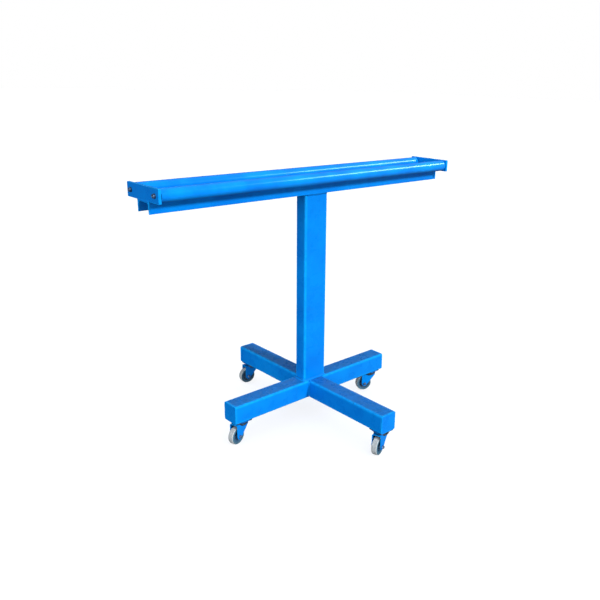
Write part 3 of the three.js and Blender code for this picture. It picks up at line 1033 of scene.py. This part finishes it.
def leg_span(castor, z):
    """Front and back edge of a fork leg at height z, in the castor's own frame."""
    rise = z - castor.axle_z
    chord = math.sqrt(max(0.0, BOSS_RADIUS ** 2 - rise ** 2))
    slope_top = castor.crown_top - FRONT_SLOPE_DROP
    slope_x = castor.trail + BOSS_RADIUS * math.cos(FRONT_SLOPE_END)
    slope_z = castor.axle_z + BOSS_RADIUS * math.sin(FRONT_SLOPE_END)
    boss_back = castor.trail + BOSS_RADIUS
    front = LEG_FRONT
    back = LEG_BACK
    if z < slope_z:
        front = castor.trail - chord
    elif z < slope_top:
        front += (slope_x - LEG_FRONT) * (slope_top - z) / (slope_top - slope_z)
    if rise < 0:
        back = castor.trail + chord
    elif rise < BACK_SLOPE:
        back = boss_back + (LEG_BACK - boss_back) * rise / BACK_SLOPE
    return front, back


def fork_stations(castor):
    """Side and height of each row of the folded fork, from one foot over the crown to the other."""
    axle = castor.axle_z
    top = castor.crown_top - LEG_THICKNESS / 2
    fold = top - FOLD_RADIUS
    rows = []
    for step in range(LEG_STEPS + 1):
        angle = math.pi / 2 * step / LEG_STEPS
        rows.append((LEG_MIDDLE, axle - BOSS_RADIUS * math.cos(angle) * BOSS_END))
    for step in range(1, LEG_STEPS + 1):
        rows.append((LEG_MIDDLE, axle + (fold - axle) * step / LEG_STEPS))
    for step in range(1, FOLD_STEPS + 1):
        angle = math.pi / 2 * step / FOLD_STEPS
        side = LEG_MIDDLE - FOLD_RADIUS * (1 - math.cos(angle))
        rows.append((side, fold + FOLD_RADIUS * math.sin(angle)))
    rows.append((FOLD_TOP, top))
    return [(-y, z) for y, z in rows] + rows[::-1]


def castor_fork(castor):
    """The fork, folded from one sheet that is thickened and then has its edges rounded."""
    shape = Shape()
    rings = []
    for y, z in fork_stations(castor):
        front, back = leg_span(castor, z)
        row = []
        for share in LEG_SHARES:
            weight = 1.0 if share in (0.0, 1.0) else 0.0
            row.append((front + (back - front) * share, y, z, weight))
        rings.append(shape.ring(row, castor.swivel))
    for first, second in zip(rings, rings[1:]):
        shape.bridge(first, second, closed=False)
    piece = castor.piece(shape, "folded_fork", [FORK_PAINT], "swivel", "fork", "blue_paint")
    solidify = piece.modifiers.new("thickness", "SOLIDIFY")
    solidify.thickness = LEG_THICKNESS
    solidify.offset = 0
    bevel = piece.modifiers.new("rounded_edges", "BEVEL")
    bevel.width = 0.6 * MM
    bevel.segments = 2
    bevel.limit_method = "ANGLE"
    bevel.angle_limit = SHARP_ANGLE
    piece.modifiers.move(0, 2)


def castor_crown(castor):
    """The pressed crown that carries the ball race, with a skirt that narrows to the fork's legs."""
    top = castor.crown_top
    corners = [
        (RACE_BORE, top - 3.5 * MM, 0.3),
        (27 * MM, top - 3.5 * MM, 1.0),
        (22.5 * MM, top - 11 * MM, 0.8),
        (24.8 * MM, top - 11.6 * MM, 0.8),
        (30.5 * MM, top - 5 * MM, 1.4),
        (CROWN_RADIUS, top - 3.6 * MM, 1.0),
        (CROWN_RADIUS, top - 0.6 * MM, 1.2),
        (27 * MM, top, 1.0),
        (24 * MM, top - 0.8 * MM, 1.0),
        (20 * MM, top, 1.0),
        (RACE_BORE, top, 0.3),
    ]
    shape = Shape().lathe(soften(corners), 64, matrix=castor.swivel)
    castor.piece(shape, "crown", [DARK_STEEL], "swivel", None, "dark_steel")


def castor_tread(castor):
    """The moulded rubber tread, with a groove in each side wall and fine lines on its face."""
    radius = castor.wheel_radius
    half = WHEEL_HALF
    half_profile = [
        (radius, 5.9 * MM, 0.2),
        (radius - 0.85 * MM, 6.2 * MM, 0.2),
        (radius - 0.85 * MM, 6.7 * MM, 0.2),
        (radius - 0.25 * MM, 7.0 * MM, 0.2),
        (36.9 * MM, half - 2.6 * MM, 1.5),
        (34.0 * MM, half, 1.5),
        (32.2 * MM, half, 0.4),
        (31.8 * MM, half - 0.6 * MM, 0.3),
        (31.0 * MM, half - 0.6 * MM, 0.3),
        (30.6 * MM, half, 0.4),
        (TREAD_INNER, half - 0.4 * MM, 0.3),
    ]
    profile = soften(mirrored(half_profile))
    steps = zip(profile, profile[1:] + profile[:1])
    bands = [int(max(a[0], b[0]) < SIDE_WALL_TOP) for a, b in steps]
    shape = Shape().lathe(profile, 96, matrix=castor.axle, bands=bands)
    castor.piece(shape, "tyre", [RUBBER, SIDE_RUBBER], "wheel", "tread", "wheel_rubber")


def castor_core(castor):
    """The moulded wheel centre, with a hub and ribs on both sides."""
    rim = WHEEL_HALF - 1.5 * MM
    half_profile = [
        (27.7 * MM, rim, 0.8),
        (24.5 * MM, rim, 0.9),
        (22.5 * MM, 4 * MM, 1.8),
        (12 * MM, 4 * MM, 1.5),
        (10.5 * MM, HUB_HALF, 0.9),
        (4.35 * MM, HUB_HALF, 0.4),
    ]
    shape = Shape().lathe(soften(mirrored(half_profile)), 72, matrix=castor.axle)
    rib = rounded_rect(12.6 * MM, 2.2 * MM, 0.6 * MM, 0.2 * MM)
    rib = [(x + RIB_PLACE, y, weight) for x, y, weight in rib]
    for turn in range(RIB_COUNT):
        spin = Matrix.Rotation(2 * math.pi / RIB_COUNT * turn, 4, "Z")
        place = castor.axle @ spin @ Matrix.Translation((0, 0, -9 * MM))
        shape.prism(rib, 18 * MM, rim=0.5 * MM, matrix=place)
    castor.piece(shape, "wheel_core", [CORE], "wheel", "core", "wheel_core")


def castor_bolt(castor):
    """The axle bolt: a chamfered hexagon head and a shank threaded at its far end."""
    shape = Shape()
    place = castor.axle @ Matrix.Translation((0, 0, -HEAD_START - HEAD_HEIGHT))
    shape.prism(hexagon(HEX_FLATS), HEAD_HEIGHT, rim=0.9 * MM, matrix=place)
    start = -HEAD_START - 1 * MM
    thread = HEAD_START + 5.5 * MM
    end = HEAD_START + 8.7 * MM
    corners = [(0, start, 0), (AXLE_RADIUS, start, 0)]
    for turn in range(THREAD_TURNS):
        z = thread + turn * THREAD_PITCH
        corners.append((AXLE_RADIUS, z, 0.1))
        corners.append((AXLE_RADIUS - 0.5 * MM, z + THREAD_PITCH / 2, 0.1))
    corners += [(AXLE_RADIUS - 0.6 * MM, end, 0.2), (0, end, 0)]
    shape.lathe(soften(corners, closed=False), 32, closed=False, matrix=castor.axle)
    castor.piece(shape, "bolt", [FASTENER], "swivel", "axle_bolt", "steel")


def castor_nut(castor):
    """The hexagon nut on the axle bolt."""
    shape = Shape()
    bore = circle(AXLE_RADIUS + 0.35 * MM, segments=30, clockwise=True)
    place = castor.axle @ Matrix.Translation((0, 0, HEAD_START)) @ Matrix.Rotation(0.3, 4, "Z")
    shape.prism(hexagon(HEX_FLATS - 0.4 * MM), NUT_HEIGHT, [bore], rim=0.8 * MM, matrix=place)
    castor.piece(shape, "nut", [FASTENER], "swivel", "axle_nut", "steel")


# ---- scene


def add_camera():
    """The camera at the photograph's viewing angle."""
    yaw = math.radians(CAMERA_YAW)
    pitch = math.radians(CAMERA_PITCH)
    roll = math.radians(CAMERA_ROLL)
    back = Vector((math.sin(yaw) * math.cos(pitch), -math.cos(yaw) * math.cos(pitch), math.sin(pitch)))
    right = (-back).cross(Vector((0, 0, 1))).normalized()
    up = right.cross(-back)
    tilted_right = right * math.cos(roll) + up * math.sin(roll)
    tilted_up = up * math.cos(roll) - right * math.sin(roll)
    data = bpy.data.cameras.new("camera")
    data.sensor_width = SENSOR
    data.lens = SENSOR * FOCAL_SHARE
    data.shift_x = SHIFT_X
    data.shift_y = SHIFT_Y
    camera = bpy.data.objects.new("camera", data)
    rotation = Matrix((tilted_right, tilted_up, back)).transposed().to_4x4()
    camera.matrix_world = Matrix.Translation(CAMERA_PLACE) @ rotation
    bpy.context.scene.collection.objects.link(camera)
    bpy.context.scene.camera = camera


def add_floor():
    """A wide pale floor."""
    shape = Shape()
    corners = [(x * FLOOR_HALF, y * FLOOR_HALF, 0, 0) for x, y in ((-1, -1), (1, -1), (1, 1), (-1, 1))]
    shape.bm.faces.new(shape.ring(corners, Matrix.Identity(4)))
    mesh = bpy.data.meshes.new("studio_floor")
    shape.bm.to_mesh(mesh)
    shape.bm.free()
    mesh.materials.append(floor_material())
    floor = bpy.data.objects.new("studio_floor", mesh)
    bpy.context.scene.collection.objects.link(floor)
    floor.visible_diffuse = False
    floor.visible_glossy = False
    return floor


def add_light(data, place, back, receivers):
    """A light that shines away from its back direction, on the receivers alone."""
    light = bpy.data.objects.new(data.name, data)
    light.location = place
    light.rotation_euler = back.to_track_quat("Z", "Y").to_euler()
    light.light_linking.receiver_collection = receivers
    bpy.context.scene.collection.objects.link(light)
    return light


def add_sun(name, towards, strength, softness, receivers):
    """A soft sun that shines from the given direction."""
    data = bpy.data.lights.new(name, "SUN")
    data.energy = strength
    data.angle = math.radians(softness)
    return add_light(data, (0, 0, 0), Vector(towards), receivers)


def add_panel(receivers):
    """A rectangular studio light."""
    data = bpy.data.lights.new("gloss_panel", "AREA")
    data.shape = "RECTANGLE"
    data.size = PANEL_WIDTH
    data.size_y = PANEL_HEIGHT
    data.energy = PANEL_POWER
    add_light(data, PANEL_PLACE, PANEL_PLACE - PANEL_AIM, receivers)


def add_world():
    """A pale surround, plain white where the camera sees it directly."""
    world = bpy.data.worlds.new("studio")
    world.use_nodes = True
    world.node_tree.nodes.clear()
    n = NodeTree(world.node_tree)
    across = n.add("VectorMath")
    across.operation = "DOT_PRODUCT"
    n.link(n.add("TexCoord").outputs["Generated"], across.inputs[0])
    n.link(SURROUND_TOWARDS, across.inputs[1])
    shade = n.add("MapRange", Value=across.outputs["Value"], **SURROUND_SHADING)
    lit = n.add("Background", Color=SURROUND_TINT, Strength=shade.outputs["Result"])
    seen = n.add("Background", Color=(1, 1, 1, 1), Strength=1.0)
    mix = n.add("MixShader")
    n.link(n.add("LightPath").outputs["Is Camera Ray"], mix.inputs[0])
    n.link(lit.outputs[0], mix.inputs[1])
    n.link(seen.outputs[0], mix.inputs[2])
    n.link(mix.outputs[0], n.add("OutputWorld").inputs[0])
    bpy.context.scene.world = world


def new_collection(name, members):
    """A collection that only light linking uses."""
    collection = bpy.data.collections.new(name)
    for member in members:
        collection.objects.link(member)
    return collection


def add_lights(floor, shells):
    """Four suns for the stand, a light of its own for the floor, and a panel for the rollers."""
    floor_only = new_collection("floor_only", [floor])
    all_but_floor = new_collection("all_but_floor", [floor])
    all_but_floor.collection_objects[0].light_linking.link_state = "EXCLUDE"
    suns = [add_sun(*sun, all_but_floor) for sun in SUNS]
    suns[-1].visible_glossy = False
    floor_sun = add_sun(*FLOOR_SUN, floor_only)
    floor_sun.light_linking.blocker_collection = floor_only
    add_panel(new_collection("rollers_only", shells))


def build_frame():
    """Base, column, beam, plates and their welds."""
    hollow_section("through_bar", "base_bar", "y", BASE_CORNER, BASE_WALL)
    for side in ("left", "right"):
        hollow_section(f"side_arm_{side}", f"base_stub_{side}", "x", BASE_CORNER, BASE_WALL)
        arm_cap(f"arm_cap_{side}", f"base_cap_{side}", "x")
        end_plate(side)
    for side in ("front", "back"):
        arm_cap(f"arm_cap_{side}", f"base_cap_{side}", "y")
    hollow_section("column_tube", "column", "z", COLUMN_CORNER, COLUMN_WALL)
    channel_beam()
    base_welds()
    column_foot_weld()
    beam_welds()


def build_rollers():
    """Both rollers, their fixed shafts and what holds them."""
    shells = []
    for roller in ("roller_front", "roller_back"):
        shells.append(roller_shell(roller))
        roller_shaft(roller)
        for side in ("left", "right"):
            roller_hub(roller, side)
            roller_bearing(roller, side)
            retaining_clip(roller, side)
    return shells


def build_castors():
    """The four swivel castors."""
    for letter in "abcd":
        castor = Castor(f"castor_{letter}")
        castor_plate(castor)
        castor_plate_welds(castor)
        castor_kingpin(castor)
        castor_fork(castor)
        castor_crown(castor)
        castor_tread(castor)
        castor_core(castor)
        castor_bolt(castor)
        castor_nut(castor)


add_camera()
floor = add_floor()
add_world()
build_frame()
shells = build_rollers()
build_castors()
add_lights(floor, shells)
bpy.context.scene.view_settings.view_transform = "Standard"
